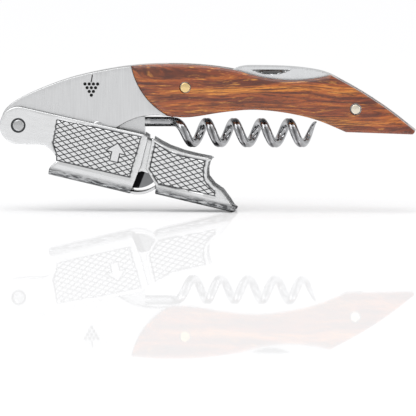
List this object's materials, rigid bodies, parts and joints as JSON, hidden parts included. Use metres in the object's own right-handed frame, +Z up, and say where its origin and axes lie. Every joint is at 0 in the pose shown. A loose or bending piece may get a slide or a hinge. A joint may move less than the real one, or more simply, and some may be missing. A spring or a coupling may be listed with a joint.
{
  "type": "lever corkscrew",
  "caption": "Waiter's corkscrew with steel bolsters, wooden scales, a two-stage hatched lever, a folding worm and a folding foil knife.",
  "frame": {"origin": "middle of the length and thickness, level with the lowest point of the folded lever", "axes": "+X along the handle from the lever's pivot to the tail, +Y through the thickness, +Z up to the handle's crest"},
  "size_m": [0.1223, 0.012, 0.0436],
  "materials": {
    "bolster_steel": "fine straight satin brushing",
    "liner_steel": "satin sheet",
    "rosewood": "orange-brown rosewood, dark streaks, oiled gloss",
    "brass": "polished",
    "nickel": "warm polished nickel",
    "lever_steel": "polished sheet with a pressed hatch",
    "worm_steel": "dark bright chrome",
    "blade_steel": "fine ground and polished",
    "spring_steel": "ground spring steel",
    "pin_steel": "polished",
    "bronze": "satin bronze washers",
    "knuckle_steel": "dark grey bead-blasted steel"
  },
  "bodies": {
    "handle": {"liner_front": "liner_steel", "liner_back": "liner_steel", "bolster_front": "bolster_steel", "bolster_back": "bolster_steel", "scale_front": "rosewood", "scale_back": "rosewood", "front_spacer": "spring_steel", "tail_spacer": "spring_steel", "back_spring": "spring_steel", "liner_rivets": "pin_steel", "handle_pin": "brass", "lever_pivot_pin": "pin_steel", "pivot_washers": "bronze", "worm_pivot_pin": "pin_steel", "knife_pivot_pin": "nickel", "knife_washers": "bronze"},
    "first_stage": {"lever_first_stage": "lever_steel", "leaf_spring": "spring_steel", "leaf_rivet": "pin_steel", "lever_hinge_pin": "pin_steel"},
    "second_stage": {"lever_second_stage": "lever_steel", "hinge_knuckle": "knuckle_steel"},
    "worm": {"worm_hub": "blade_steel", "worm_spiral": "worm_steel"},
    "knife": {"foil_knife": "blade_steel"}
  },
  "joints": [
    {"name": "lever_turn", "type": "hinge", "parent": "handle", "child": "first_stage", "pos_m": [-0.05565, 0, 0.02549], "axis": [0, 1, 0], "range_deg": [0, 190]},
    {"name": "stage_fold", "type": "hinge", "parent": "first_stage", "child": "second_stage", "pos_m": [-0.02056, 0, 0.01431], "axis": [0, 1, 0], "range_deg": [0, 34]},
    {"name": "worm_fold", "type": "hinge", "parent": "handle", "child": "worm", "pos_m": [-0.03245, 0, 0.02509], "axis": [0, 1, 0], "range_deg": [0, 95]},
    {"name": "knife_fold", "type": "hinge", "parent": "handle", "child": "knife", "pos_m": [0.04385, 0, 0.03059], "axis": [0, 1, 0], "range_deg": [0, 145]}
  ],
  "couplings": [
    {"joint": "worm_fold", "follows": "lever_turn", "ratio": 0.5}
  ]
}
